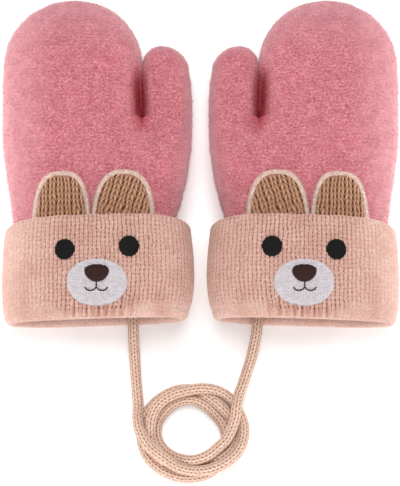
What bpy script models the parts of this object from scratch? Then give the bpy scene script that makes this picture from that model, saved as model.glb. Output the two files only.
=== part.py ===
"""A toddler's pair of knitted mittens, joined by a knitted cord, lying on a table, fingers towards +Y.

Each mitten is a brushed knit hand with its thumb, a turned-up cuff and two ears. The cloth is a hollow wall
that keeps its filled-out form. The tables describe one mitten in millimetres: x across it, with the thumb
towards +x, y up from its mouth, and z above the table. The other mitten is its mirror image.
"""

import math

import bpy
import numpy as np

MM = 0.001
GAP = 0.3  # between two sewn pieces

# The pair
MITTEN_OFFSET = 41.1  # from the pair's middle to the middle line of each mitten
MITTEN_LENGTH = 133.8  # from the mouth to the fingertips
MIDDLE_Y = 66.0  # half way from the mouth's lowest corner to the fingertips
HAND_WALL = 2.2
CUFF_WALL = 2.3
EAR_WALL = 1.5
FLATTENED = 0.9  # how much of a round section's height is pressed flat where it rests
ROUND = 2.35  # the exponent of a soft round section; 2 is an ellipse

# The hand: one row for each section, from the seam inside the cuff to the crotch of the thumb
SEAM_Y = 30.0
CROTCH_Y = 83.0
CROTCH_X = 17.4
SPLIT_FROM_Y = 63.0  # where the palm starts to part into a hand lobe and a thumb lobe
PALM_COLUMNS = ("y", "left", "right", "low", "high")
PALM = (
    (0.0, -33.8, 33.2, 3.0, 25.8),
    (4.0, -34.2, 33.6, 3.0, 25.6),
    (15.0, -34.4, 33.4, 3.0, 24.2),
    (SEAM_Y, -33.0, 31.2, 3.2, 22.4),
    (38.0, -33.4, 31.1, 3.4, 22.2),
    (43.0, -34.3, 31.6, 3.2, 22.5),
    (48.5, -34.8, 33.3, 1.8, 23.3),
    (55.0, -36.0, 34.9, 0.4, 24.2),
    (61.5, -36.8, 36.3, 0.0, 24.9),
    (74.0, -37.9, 37.6, 0.0, 25.2),
    (CROTCH_Y, -38.0, 37.9, 0.0, 25.0),
)
HAND = (  # the hand lobe, above the crotch
    (CROTCH_Y, -38.0, CROTCH_X, 0.0, 25.0),
    (91.0, -38.0, 17.2, 0.0, 24.9),
    (97.5, -37.9, 17.1, 0.0, 24.7),
    (105.2, -37.6, 17.3, 0.0, 24.3),
)
THUMB = (  # the thumb lobe
    (CROTCH_Y, CROTCH_X, 37.9, 0.0, 18.6),
    (91.0, 17.2, 38.0, 0.2, 18.2),
    (97.5, 17.1, 37.7, 0.6, 17.8),
    (104.6, 17.2, 36.7, 1.2, 17.2),
)
SLIT = 0.5  # between the hand and the thumb, where they lie side by side
SLIT_ROUND = 3.6  # the squarer section where they are pressed together
FINGERTIP = (-9.6, MITTEN_LENGTH, 9.8)
THUMB_TIP = (26.8, 114.9, 8.8)
TIP_WIDTH_POWER = 0.88  # a tip narrows as a cosine to this power, and thins as one to the next two
HAND_TIP_POWER = 0.62
THUMB_TIP_POWER = 0.75
TIP_LAST_TURN = 84.0  # degrees of the tip's quarter turn before its end point
HAND_POINTS = 28  # points round the hand lobe
THUMB_POINTS = 16
WEB_POINTS = 5  # of them, on the side that faces the slit
PALM_RINGS = 10
LOBE_RINGS = 4
TIP_RINGS = 5

# The cuff: its outer skin, from the fold at the mouth to the turned-up edge
CUFF_EDGE_Y = 41.6
CUFF_SLANT = 0.03  # the cuff climbs towards the thumb
CUFF_DROOP = 0.05  # and its upper side hangs lower than its underside
CUFF_CORNER = 1.3  # how much lower the turned-up edge is at its two sides
CUFF_COLUMNS = PALM_COLUMNS
CUFF = (
    (0.0, -35.0, 34.2, 0.0, 28.0),
    (4.0, -37.0, 36.7, 0.0, 28.8),
    (12.0, -38.1, 38.5, 0.0, 29.2),
    (24.0, -38.2, 38.7, 0.0, 29.3),
    (34.0, -37.9, 38.1, 0.0, 29.2),
    (CUFF_EDGE_Y, -37.2, 37.4, 0.0, 28.8),
)
CUFF_POINTS = 40
CUFF_ROUND = 2.5
FOLD_DEPTH = 3.6
FOLD_TURNS = (36, 72, 108, 144)  # degrees round the fold
SLOT_FLOOR_Y = 5.0  # the bottom of the slot between the cuff's two layers

# The ears: centre line at the root, half width, lean sideways for each millimetre up, squareness, top, taper
EAR_COLUMNS = ("name", "centre", "half_width", "lean", "roundness", "top", "taper")
EARS = (
    ("outer", -14.5, 11.5, 0.06, 3.5, 58.3, 0.12),
    ("inner", 10.7, 12.5, 0.02, 2.6, 58.9, 0.03),
)
EAR_ROOT_Y = 37.0
EAR_ROWS = 8
EAR_HALF_COLUMNS = 3
EAR_BORDER = 2.1  # how far the plush back shows round the knitted front

# The cord
CORD_DIAMETER = 4.4
CORD_SIDES_RESOLUTION = 2
CORD_STEP = 2 * CORD_DIAMETER
LEFT_RUN = (  # from inside the left mitten's mouth to the coil
    (-26.8, 8.0, 7.85),
    (-26.8, 1.0, 7.85),
    (-26.7, -5.0, 5.4),
    (-26.5, -9.6, 3.5),
    (-26.2, -14.4, 2.6),
    (-25.8, -20.0, 2.5),
    (-25.3, -26.0, 2.6),
    (-24.8, -32.1, 3.0),
)
RIGHT_RUN = (
    (23.0, 8.0, 8.0),
    (22.8, 1.0, 8.0),
    (21.9, -6.0, 5.4),
    (21.1, -9.8, 4.2),
    (20.1, -13.8, 3.6),
    (18.4, -19.0, 3.8),
    (16.8, -24.0, 4.3),
    (14.9, -29.3, 5.0),
)
COIL_CENTRE = (-3.6, -43.2)
COIL_OUTER = (23.0, 20.5)  # half widths along x and y
COIL_THICKNESS = 11.4
COIL_HEIGHT = 11.0
COIL_SQUARENESS = 0.8
COIL_SEGMENTS = 36
COIL_PROFILE_POINTS = 10

MATERIALS = {  # base colour, roughness
    "brushed_pink_knit": ((0.68, 0.25, 0.29, 1.0), 0.95),
    "peach_knit": ((0.78, 0.47, 0.38, 1.0), 0.9),
    "cream_plush": ((0.80, 0.62, 0.52, 1.0), 0.95),
    "brown_knit": ((0.42, 0.22, 0.13, 1.0), 0.85),
    "peach_cord": ((0.80, 0.55, 0.43, 1.0), 0.85),
}


def clear_scene():
    for old in list(bpy.data.objects):
        bpy.data.objects.remove(old)


def material(name):
    colour, roughness = MATERIALS[name]
    made = bpy.data.materials.new(name)
    made.use_nodes = True
    shader = made.node_tree.nodes["Principled BSDF"]
    shader.inputs["Base Color"].default_value = colour
    shader.inputs["Roughness"].default_value = roughness
    shader.inputs["Metallic"].default_value = 0.0
    return made


def read_table(rows, y):
    """The columns after y, at the heights y, on smooth curves through the rows: cubics that share slopes."""
    table = np.array(rows, float)
    knots, values = table[:, 0], table[:, 1:]
    slopes = np.gradient(values, knots, axis=0)
    y = np.clip(np.atleast_1d(np.asarray(y, float)), knots[0], knots[-1])
    i = np.clip(np.searchsorted(knots, y) - 1, 0, len(knots) - 2)
    step = (knots[i + 1] - knots[i])[:, None]
    t = (y - knots[i])[:, None] / step
    from_start = (1 + 2 * t) * (1 - t) ** 2 * values[i] + t * (1 - t) ** 2 * step * slopes[i]
    from_end = t * t * (3 - 2 * t) * values[i + 1] - t * t * (1 - t) * step * slopes[i + 1]
    return from_start + from_end


def section(row, angles, inset=0.0, left_round=ROUND, right_round=ROUND):
    """The (x, z) points of a soft round section at the angles, from +x towards +z.

    It is a superellipse between the row's left, right, low and high sides, all moved in by inset, and pressed
    flat at the low side. The roundness may differ on its left and right halves.
    """
    left, right, low, high = row
    left, right, low, high = left + inset, right - inset, low + inset, high - inset
    cos, sin = np.cos(angles), np.sin(angles)
    power = 2 / np.where(cos < 0, left_round, right_round)
    x = (left + right) / 2 + (right - left) / 2 * np.sign(cos) * np.abs(cos) ** power
    z = (low - FLATTENED + high) / 2 + (high - low + FLATTENED) / 2 * np.sign(sin) * np.abs(sin) ** power
    return np.column_stack([x, np.maximum(z, max(low, inset))])


def at_height(points, y):
    """Section points as points in space."""
    return np.column_stack([points[:, 0], np.full(len(points), y), points[:, 1]])


def ring_angles(count):
    return np.arange(count) * 2 * math.pi / count


def lobe_rings(rows, tip, count, inset, slit_side, fullness):
    """Rings from the crotch to the tip of the hand or the thumb, and the tip point.

    The straight part follows the table. The rounded end shrinks the last section towards the tip, its width
    as the cosine of an angle and its height more slowly, which keeps the end full.
    """
    angles = ring_angles(count)
    straight_top = rows[-1][0]
    heights = np.linspace(CROTCH_Y - inset, straight_top, LOBE_RINGS)
    sides = read_table(rows, heights)
    tip = np.array(tip) - np.array((0, inset, 0))
    soft = np.clip((heights - CROTCH_Y) / (straight_top - CROTCH_Y), 0, 1)
    edge_round = SLIT_ROUND + (ROUND - SLIT_ROUND) * soft
    rings = []
    for y, row, edge in zip(heights, sides, edge_round):
        row = row.copy()
        row[slit_side] += SLIT / 2 * (-1 if slit_side == 1 else 1)
        rounds = (ROUND, edge) if slit_side == 1 else (edge, ROUND)
        rings.append(at_height(section(row, angles, inset, *rounds), y))
    last = rings[-1]
    middle = (last.min(0) + last.max(0)) / 2
    for k in range(1, TIP_RINGS + 1):
        turn = math.radians(TIP_LAST_TURN) * k / TIP_RINGS
        shrink = np.array((math.cos(turn) ** TIP_WIDTH_POWER, 1, math.cos(turn) ** fullness))
        centre = middle + (tip - middle) * math.sin(turn) ** 2
        y = straight_top + (tip[1] - straight_top) * math.sin(turn)
        ring = centre + (last - middle) * shrink
        ring[:, 1] = y
        ring[:, 2] = np.maximum(ring[:, 2], inset)
        rings.append(ring)
    return rings, tip


def palm_arc(row, inset, count, hand_side):
    """Points of the undivided palm's section from above the crotch's line to below it, round one side."""
    middle, half = (row[0] + row[1]) / 2, (row[1] - row[0]) / 2 - inset
    start = math.acos(((CROTCH_X - middle) / half) ** (ROUND / 2))
    end = 2 * math.pi - start if hand_side else -start
    return section(row, np.linspace(start, end, count), inset)


def hand_shell(inset):
    """The points and faces of one skin of the hand, and the indices of its lowest ring.

    The palm's rings part at the crotch into the hand's rings and the thumb's, which share the points of
    the web between them.
    """
    hand, hand_tip = lobe_rings(HAND, FINGERTIP, HAND_POINTS, inset, 1, HAND_TIP_POWER)
    thumb, thumb_tip = lobe_rings(THUMB, THUMB_TIP, THUMB_POINTS, inset, 0, THUMB_TIP_POWER)
    half_web = WEB_POINTS // 2 + 1
    hand_web = np.arange(half_web, -half_web - 1, -1) % HAND_POINTS  # from above the crotch to below it
    thumb_web = THUMB_POINTS // 2 + np.arange(-half_web, half_web + 1)
    web = (hand[0][hand_web] + thumb[0][thumb_web]) / 2
    hand[0][hand_web], thumb[0][thumb_web] = web, web
    hand_arc = np.arange(half_web, HAND_POINTS - half_web + 1)
    thumb_arc = (THUMB_POINTS // 2 - half_web - np.arange(THUMB_POINTS - WEB_POINTS)) % THUMB_POINTS
    lobes = np.concatenate([hand[0][hand_arc], thumb[0][thumb_arc][-2:0:-1]])
    crotch_y = CROTCH_Y - inset
    points, faces = [], []

    def add(ring):
        first = sum(map(len, points))
        points.append(ring)
        return np.arange(first, first + len(ring))

    def join(a, b):
        faces.extend(zip(a, b, np.roll(b, -1), np.roll(a, -1)))

    heights = np.linspace(SEAM_Y + GAP, crotch_y, PALM_RINGS)
    previous = None
    for y, row in zip(heights, read_table(PALM, heights)):
        split = np.clip((y - SPLIT_FROM_Y) / (crotch_y - SPLIT_FROM_Y), 0, 1)
        split = split * split * (3 - 2 * split)
        whole = np.concatenate(
            [
                palm_arc(row, inset, len(hand_arc), True),
                palm_arc(row, inset, len(thumb_arc), False)[-2:0:-1],
            ]
        )
        ring = at_height(whole + (lobes[:, (0, 2)] - whole) * split, y)
        indices = add(ring)
        if previous is not None:
            join(previous, indices)
        else:
            lowest = indices
        previous = indices
    web_indices = add(web[1:-1])
    arc = len(hand_arc)
    top, bottom = previous[0], previous[arc - 1]
    hand_base = np.zeros(HAND_POINTS, int)
    hand_base[hand_arc] = previous[:arc]
    hand_base[hand_web] = np.concatenate([[top], web_indices, [bottom]])
    thumb_base = np.zeros(THUMB_POINTS, int)
    thumb_base[thumb_arc] = np.concatenate([[top], previous[arc:][::-1], [bottom]])
    thumb_base[thumb_web] = np.concatenate([[top], web_indices, [bottom]])
    for base, rings, tip in ((hand_base, hand, hand_tip), (thumb_base, thumb, thumb_tip)):
        previous = base
        for ring in rings[1:]:
            indices = add(ring)
            join(previous, indices)
            previous = indices
        (pole,) = add(tip[None])
        faces.extend(zip(previous, np.full(len(previous), pole), np.roll(previous, -1)))
    return np.concatenate(points), faces, lowest


def hand_solid():
    """The hand's wall: an outer and an inner skin, closed round the seam inside the cuff."""
    outer, outer_faces, outer_rim = hand_shell(0.0)
    inner, inner_faces, inner_rim = hand_shell(HAND_WALL)
    inner_rim = inner_rim + len(outer)
    faces = outer_faces + [tuple(i + len(outer) for i in face[::-1]) for face in inner_faces]
    faces += list(zip(outer_rim, np.roll(outer_rim, -1), np.roll(inner_rim, -1), inner_rim))
    return np.concatenate([outer, inner]), faces


def cuff_ring(rows, y, inset=0.0, lean=1.0):
    """One ring of the cuff: the table's section at height y, which leans by a share of the full slant."""
    (row,) = read_table(rows, y)
    ring = at_height(section(row, ring_angles(CUFF_POINTS), inset, CUFF_ROUND, CUFF_ROUND), y)
    side_share = ring[:, 0] / CUFF[-1][2]
    corner = CUFF_CORNER * (y / CUFF_EDGE_Y) ** 3 * side_share**4
    ring[:, 1] += lean * (CUFF_SLANT * ring[:, 0] - CUFF_DROOP * ring[:, 2] - corner)
    return ring


def cuff_solid():
    """The cuff: one tube of cloth, turned up over itself at the mouth.

    Its profile goes down the outer skin, round the fold, up the inside to the seam, down the hidden face of
    the inner layer to the bottom of the slot, and up the hidden face of the outer layer to the edge. The
    seam is square to the hand, so the slant of the inner layer fades out towards it.
    """
    lip = CUFF_WALL / 2
    edge_y = CUFF_EDGE_Y - lip
    rings = [cuff_ring(CUFF, y) for y in np.linspace(edge_y, FOLD_DEPTH, 6)]
    fold_from, fold_to = rings[-1], cuff_ring(PALM, FOLD_DEPTH, CUFF_WALL)
    for turn in np.radians(FOLD_TURNS):
        ring = fold_from + (fold_to - fold_from) * (1 - math.cos(turn)) / 2
        ring[:, 1] = fold_from[:, 1] - FOLD_DEPTH * math.sin(turn)
        rings.append(ring)
    rings += [cuff_ring(PALM, y, CUFF_WALL, 1 - y / SEAM_Y) for y in np.linspace(FOLD_DEPTH, SEAM_Y, 4)]
    rings += [cuff_ring(PALM, y, 0.0, 1 - y / SEAM_Y) for y in np.linspace(SEAM_Y, SLOT_FLOOR_Y, 4)]
    rings += [cuff_ring(CUFF, y, CUFF_WALL) for y in np.linspace(SLOT_FLOOR_Y, edge_y, 5)]
    rings.append(cuff_ring(CUFF, CUFF_EDGE_Y, lip))
    count = len(rings)
    index = np.arange(count * CUFF_POINTS).reshape(count, CUFF_POINTS)
    along, around = np.roll(index, -1, axis=0), np.roll(index, -1, axis=1)
    both = np.roll(along, -1, axis=1)
    faces = np.stack([index, around, both, along], axis=-1).reshape(-1, 4)
    return np.concatenate(rings), faces.tolist()


def back_of_hand(x, y):
    """The height of the hand's upper side at (x, y), where the palm is undivided."""
    left, right, low, high = np.moveaxis(read_table(PALM, np.ravel(y)).reshape(*np.shape(y), 4), -1, 0)
    share = np.clip(np.abs(x - (left + right) / 2) / ((right - left) / 2), 0, 1)
    return (low - FLATTENED + high) / 2 + (high - low + FLATTENED) / 2 * (1 - share**ROUND) ** (1 / ROUND)


def ear_solid(centre, half_width, lean, roundness, top, taper, raised, border):
    """One layer of an ear: a tongue-shaped panel laid on the back of the hand, raised by so much above it.

    Its half width follows a quarter of a superellipse from the root to the rounded top, and tapers.
    """
    root_y = EAR_ROOT_Y
    length = top - border - root_y
    up = np.sin(np.linspace(0, math.pi / 2, EAR_ROWS + 1))[:-1]
    up = np.append(up, 0.5 + up[-1] / 2)
    across = np.linspace(-1, 1, 2 * EAR_HALF_COLUMNS + 1)
    half = (half_width - border) * (1 - up**roundness) ** (1 / roundness) * (1 - taper * up)
    y = root_y + up[:, None] * length + 0 * across
    x = centre + lean * (y - root_y) + half[:, None] * across
    under = back_of_hand(x, y) + raised
    points = np.concatenate(
        [np.stack([x, y, z], axis=-1).reshape(-1, 3) for z in (under, under + EAR_WALL)]
    )
    rows, columns = x.shape
    lower = np.arange(rows * columns).reshape(rows, columns)
    upper = lower + rows * columns
    faces = []
    for grid, flip in ((lower, -1), (upper, 1)):
        quads = np.stack([grid[:-1, :-1], grid[:-1, 1:], grid[1:, 1:], grid[1:, :-1]], axis=-1).reshape(-1, 4)
        faces += quads[:, ::flip].tolist()
    rim_low = np.concatenate([lower[0], lower[1:, -1], lower[-1, -2::-1], lower[-2:0:-1, 0]])
    rim_high = rim_low + rows * columns
    faces += list(zip(rim_low, np.roll(rim_low, -1), np.roll(rim_high, -1), rim_high))
    return points, faces


def add_solid(name, points, faces, finish):
    """A named object from points in millimetres, shaded smooth."""
    mesh = bpy.data.meshes.new(name)
    mesh.from_pydata((points * MM).tolist(), [], [tuple(int(i) for i in face) for face in faces])
    mesh.validate()
    mesh.materials.append(finish)
    mesh.shade_smooth()
    mesh.set_sharp_from_angle(angle=math.radians(50))
    made = bpy.data.objects.new(name, mesh)
    bpy.context.scene.collection.objects.link(made)
    return made


def placed(points, faces, side):
    """A mitten's points moved to its place in the pair: side -1 is the left one, 1 the mirrored right one."""
    moved = points * (-side, 1, 1) + (side * MITTEN_OFFSET, -MIDDLE_Y, 0)
    return moved, (faces if side < 0 else [face[::-1] for face in faces])


def smooth_route(route):
    """Points at most CORD_STEP apart on a smooth curve through the route's own points."""
    route = np.array(route, float)
    chord = np.concatenate([[0], np.cumsum(np.linalg.norm(np.diff(route, axis=0), axis=1))])
    count = math.ceil(chord[-1] / CORD_STEP)
    return read_table(np.column_stack([chord, route]), np.linspace(0, chord[-1], count + 1))


def add_cord_run(name, route, finish):
    curve = bpy.data.curves.new(name, "CURVE")
    curve.dimensions = "3D"
    curve.bevel_depth = CORD_DIAMETER / 2 * MM
    curve.bevel_resolution = CORD_SIDES_RESOLUTION
    curve.use_fill_caps = True
    points = smooth_route(route) - (0, MIDDLE_Y, 0)
    spline = curve.splines.new("POLY")
    spline.points.add(len(points) - 1)
    for place, point in zip(spline.points, points * MM):
        place.co = (*point, 1)
    curve.materials.append(finish)
    made = bpy.data.objects.new(name, curve)
    bpy.context.scene.collection.objects.link(made)


def add_coil(finish):
    """The outer shape of the coiled cord: a rounded profile turned about an upright axis, as an oval ring."""
    profile = ring_angles(COIL_PROFILE_POINTS)
    turn = ring_angles(COIL_SEGMENTS)[:, None]
    inwards = COIL_THICKNESS / 2 * (1 - np.sign(np.cos(profile)) * np.abs(np.cos(profile)) ** COIL_SQUARENESS)
    z = COIL_HEIGHT / 2 * (1 + np.sign(np.sin(profile)) * np.abs(np.sin(profile)) ** COIL_SQUARENESS)
    x = COIL_CENTRE[0] + (COIL_OUTER[0] - inwards) * np.cos(turn)
    y = COIL_CENTRE[1] - MIDDLE_Y + (COIL_OUTER[1] - inwards) * np.sin(turn)
    points = np.stack([x, y, z + 0 * turn], axis=-1).reshape(-1, 3)
    index = np.arange(len(points)).reshape(COIL_SEGMENTS, COIL_PROFILE_POINTS)
    after, above = np.roll(index, -1, axis=0), np.roll(index, -1, axis=1)
    faces = np.stack([index, after, np.roll(after, -1, axis=1), above], axis=-1).reshape(-1, 4)
    add_solid("cord_coil", points, faces.tolist(), finish)


def add_mitten(name, side, finishes):
    add_solid(f"{name}_hand", *placed(*hand_solid(), side), finishes["brushed_pink_knit"])
    add_solid(f"{name}_cuff", *placed(*cuff_solid(), side), finishes["peach_knit"])
    for ear, *shape in EARS:
        back = ear_solid(*shape, GAP, 0.0)
        front = ear_solid(*shape, GAP + EAR_WALL + GAP, EAR_BORDER)
        add_solid(f"{name}_{ear}_ear_back", *placed(*back, side), finishes["cream_plush"])
        add_solid(f"{name}_{ear}_ear_front", *placed(*front, side), finishes["brown_knit"])


clear_scene()
all_finishes = {name: material(name) for name in MATERIALS}
add_mitten("left", -1, all_finishes)
add_mitten("right", 1, all_finishes)
add_cord_run("cord_left_run", LEFT_RUN, all_finishes["peach_cord"])
add_cord_run("cord_right_run", RIGHT_RUN, all_finishes["peach_cord"])
add_coil(all_finishes["peach_cord"])
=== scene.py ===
"""A toddler's pair of knitted mittens joined by a knitted cord: the looks of each piece.

Lengths are in millimetres until a mesh is made. x runs across the pair, y from the cuffs to the fingertips
and z up from the table. A mitten is worked out once, with its thumb towards +x and its mouth at y 0, and is
then put in its two places. Colours are given as a screen shows them, from 0 to 255.
"""

import math

import bpy
import numpy as np
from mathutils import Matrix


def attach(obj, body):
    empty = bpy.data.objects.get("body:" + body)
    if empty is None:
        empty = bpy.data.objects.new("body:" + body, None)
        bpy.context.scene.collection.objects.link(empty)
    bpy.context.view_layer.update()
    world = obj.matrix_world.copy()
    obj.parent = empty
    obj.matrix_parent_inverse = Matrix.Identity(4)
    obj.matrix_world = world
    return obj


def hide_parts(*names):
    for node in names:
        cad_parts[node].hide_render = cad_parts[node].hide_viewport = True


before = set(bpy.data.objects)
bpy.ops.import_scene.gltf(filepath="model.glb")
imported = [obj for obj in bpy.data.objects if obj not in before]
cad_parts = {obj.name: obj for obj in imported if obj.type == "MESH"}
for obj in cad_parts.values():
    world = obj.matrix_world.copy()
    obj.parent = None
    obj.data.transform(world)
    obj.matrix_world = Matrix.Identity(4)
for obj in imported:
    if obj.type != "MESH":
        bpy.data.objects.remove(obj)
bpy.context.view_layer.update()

MM = 0.001

# --------------------------------------------------
# The camera looks down at the pair steeply, from the side of the cuffs, from far enough to keep the shapes
# undistorted.
CAMERA_ELEVATION = 77.0
CAMERA_DISTANCE = 900.0
CAMERA_TARGET = np.array((-0.2, -33.9, 12.0))
IMAGE_HEIGHT = 486
MM_PER_PIXEL = 0.4
SENSOR = 36.0

elevation = math.radians(CAMERA_ELEVATION)
to_camera = np.array((0, -math.cos(elevation), math.sin(elevation)))
camera = bpy.data.objects.new("camera", bpy.data.cameras.new("camera"))
camera.data.sensor_width = SENSOR
camera.data.lens = SENSOR * CAMERA_DISTANCE / (IMAGE_HEIGHT * MM_PER_PIXEL)
camera.data.clip_start = 0.01
camera.location = (CAMERA_TARGET + CAMERA_DISTANCE * to_camera) * MM
camera.rotation_euler = (math.pi / 2 - elevation, 0, 0)
bpy.context.scene.collection.objects.link(camera)
bpy.context.scene.camera = camera

# --------------------------------------------------
# The cord is a narrow tube of plain acrylic knitting, as a knitting nancy makes. Each end is sewn inside a
# cuff, and its length between the mittens lies on the table, wound three and a half times round.
MIDDLE_Y = 66.0  # from the mouths to the middle of the pair
CORD_DIAMETER = 4.4
CORD_WALES = 10
CORD_STITCH = 1.7
CORD_RINGS_A_STITCH = 4
CORD_POINTS_A_WALE = 5
CORD_RELIEF, CORD_LEVEL = 0.42, 0.75  # the knit's height, and the share of it that the diameter goes through
CORD_SWAY = 0.17  # how far, in stitches, the rounds tilt to and fro
LEFT_RUN = (  # x, y from the mouth, z: from inside the left mitten's mouth to the coil
    (-26.8, 8.0, 7.85),
    (-26.8, 1.0, 7.85),
    (-26.7, -5.0, 5.4),
    (-26.5, -9.6, 3.5),
    (-26.2, -14.4, 2.6),
    (-25.8, -20.0, 2.5),
    (-25.3, -26.0, 2.6),
    (-24.8, -32.1, 3.0),
)
RIGHT_RUN = (
    (23.0, 8.0, 8.0),
    (22.8, 1.0, 8.0),
    (21.9, -6.0, 5.4),
    (21.1, -9.8, 4.2),
    (20.1, -13.8, 3.6),
    (18.4, -19.0, 3.8),
    (16.8, -24.0, 4.3),
    (14.9, -29.3, 5.0),
)
COIL_CENTRE = (-3.6, -43.2)
COIL_INNER = (13.8, 12.05)  # half widths of an innermost turn's centre line
COIL_NARROWING = 0.893  # a turn's offset outwards along y for each millimetre along x
COIL = (  # degrees turned, from +x to +y; offset outwards; height
    (165, 8.2, 5.2), (180, 6.3, 6.9), (202, 4.3, 8.2), (225, 2.6, 8.2), (248, 2.9, 7.2),
    (270, 3.6, 6.2), (292, 4.6, 7.0), (315, 5.6, 7.6), (337, 6.6, 6.4), (360, 7.0, 4.9),
    (375, 7.2, 3.6), (390, 7.3, 2.6), (405, 7.9, 3.3), (420, 7.8, 4.6), (435, 6.6, 5.8),
    (450, 5.4, 6.3), (495, 4.2, 6.2), (540, 2.5, 6.0), (562, 2.7, 5.0), (585, 2.9, 4.0),
    (607, 2.1, 3.0), (630, 1.4, 2.3), (652, 1.8, 3.6), (675, 2.8, 5.4), (698, 3.8, 3.8),
    (720, 4.2, 2.4), (742, 3.2, 3.4), (765, 2.7, 4.6), (785, 3.6, 3.9), (800, 5.4, 2.6),
    (815, 6.3, 2.3), (855, 6.2, 2.3), (900, 6.0, 2.3), (945, 6.3, 2.3), (990, 5.9, 2.3),
    (1012, 5.2, 2.2), (1035, 2.8, 2.1), (1058, 0.8, 2.3), (1080, 0.0, 2.3), (1102, -0.6, 2.3),
    (1125, -0.8, 2.3), (1150, 0.4, 2.5), (1170, 1.5, 2.9), (1215, 0.9, 2.6), (1260, 0.2, 2.3),
    (1305, -0.7, 2.9), (1327, -0.9, 4.6), (1350, -0.8, 6.2), (1380, -1.0, 7.4), (1407, -0.9, 7.7),
    (1425, 0.4, 7.3), (1440, 1.6, 6.9), (1455, 3.7, 6.8), (1470, 6.7, 6.6),
)
COIL_STEP = 7.5  # degrees


def read_table(rows, at):
    """The columns after the first, at the values `at` of the first: cubics that share slopes at the rows."""
    table = np.array(rows, float)
    knots, values = table[:, 0], table[:, 1:]
    slopes = np.gradient(values, knots, axis=0)
    at = np.clip(np.atleast_1d(np.asarray(at, float)), knots[0], knots[-1])
    i = np.clip(np.searchsorted(knots, at) - 1, 0, len(knots) - 2)
    step = (knots[i + 1] - knots[i])[:, None]
    t = (at - knots[i])[:, None] / step
    from_start = (1 + 2 * t) * (1 - t) ** 2 * values[i] + t * (1 - t) ** 2 * step * slopes[i]
    from_end = t * t * (3 - 2 * t) * values[i + 1] - t * t * (1 - t) * step * slopes[i + 1]
    return from_start + from_end


def along(points):
    """The distance of each point from the first, along the line through them."""
    return np.concatenate([[0], np.cumsum(np.linalg.norm(np.diff(points, axis=0), axis=1))])


def respaced(points, step):
    """Points `step` apart along the smooth curve through the given ones."""
    distance = along(points)
    count = math.ceil(distance[-1] / step)
    return read_table(np.column_stack([distance, points]), np.linspace(0, distance[-1], count + 1))


def plain_knit(wale, stitch, slant, groove, edge, gap, hole):
    """Height from 0 to 1 of plain knitting at a place counted in wales across and stitches up.

    A wale has two legs, each a rounded ridge: the height across is the sine of the way from the wale's
    middle to its edge, and the groove is its share, less deep at the edge by that factor. The gap between
    two stitches falls towards the wale's middle by the slant, which makes the V, and ends there in a hole: a
    bell as wide and long as given.
    """
    across = np.abs(wale - np.floor(wale) - 0.5) * 2
    ridge = 1 - groove * np.where(across > 0.5, edge, 1) * (1 - np.sin(np.pi * across) ** 0.8)
    bead = 1 - gap + gap * np.abs(np.cos(np.pi * (stitch - slant * across))) ** 0.7
    from_hole = stitch - np.floor(stitch) - 0.5
    return ridge * bead * (1 - 0.95 * np.exp(-((across / hole[0]) ** 2) - (from_hole / hole[1]) ** 2))


def tube_faces(index):
    """Quads of a tube from its rings' point numbers.

    It faces outwards where the rings turn from right to top, seen against the way they follow each other.
    """
    around = np.roll(index, -1, axis=1)
    return np.stack([index[:-1], around[:-1], around[1:], index[1:]], axis=-1).reshape(-1, 4)


def fan(ring, tip):
    """Triangles that close a tube, from its last ring's point numbers to a tip."""
    return np.column_stack([ring, np.roll(ring, -1), np.full(len(ring), tip)])


def add_mesh(name, points, faces, finish, relief=None):
    """A smooth object from points in millimetres and lists of faces, with the relief stored at its points."""
    mesh = bpy.data.meshes.new(name)
    corners = [face for part in faces for face in np.asarray(part).tolist()]
    mesh.from_pydata((points * MM).tolist(), [], corners)
    mesh.materials.append(finish)
    mesh.shade_smooth()
    if relief is not None:
        mesh.attributes.new("relief", "FLOAT", "POINT").data.foreach_set("value", relief.astype(np.float32))
    made = bpy.data.objects.new(name, mesh)
    bpy.context.scene.collection.objects.link(made)
    return made


def dress(piece, slot, *nodes):
    """The piece rides on the one body and stands for the nodes, whose parts it hides; the slot is not used.
    """
    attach(piece, "root")
    if nodes:
        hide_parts(*nodes)


def screen(red, green, blue):
    """A linear colour from one that a screen shows."""
    shares = np.array((red, green, blue)) / 255
    return (*np.where(shares < 0.04045, shares / 12.92, ((shares + 0.055) / 1.055) ** 2.4).tolist(), 1.0)


def add_node(tree, kind, inputs, **settings):
    """A shader node with its settings, and its inputs set to a value or joined to a socket."""
    node = tree.nodes.new("ShaderNode" + kind)
    for key, value in settings.items():
        setattr(node, key, value)
    for key, value in inputs.items():
        if isinstance(value, bpy.types.NodeSocket):
            tree.links.new(value, node.inputs[key])
        else:
            node.inputs[key].default_value = value
    return node


def cloth_finish(name, roughness, sheen, sheen_colour, specular=0.2):
    """A new cloth material with its sheen, and its node tree and object coordinates."""
    made = bpy.data.materials.new(name)
    made.use_nodes = True
    shader = made.node_tree.nodes["Principled BSDF"]
    shader.inputs["Roughness"].default_value = roughness
    shader.inputs["Specular IOR Level"].default_value = specular
    shader.inputs["Sheen Weight"].default_value = sheen
    shader.inputs["Sheen Roughness"].default_value = 0.5
    shader.inputs["Sheen Tint"].default_value = screen(*sheen_colour)
    return made, made.node_tree, add_node(made.node_tree, "TexCoord", {}).outputs["Object"]


def wired(made, sockets):
    """The material, with each socket joined to the shader's input of its name."""
    shader = made.node_tree.nodes["Principled BSDF"]
    for name, socket in sockets.items():
        made.node_tree.links.new(socket, shader.inputs[name])
    return made


def noise(tree, place, size, detail=3.0, roughness=0.6):
    """A noise socket whose blotches are about `size` millimetres across."""
    inputs = {"Vector": place, "Scale": 1 / (size * MM), "Detail": detail, "Roughness": roughness}
    return add_node(tree, "TexNoise", inputs).outputs[0]


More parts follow.
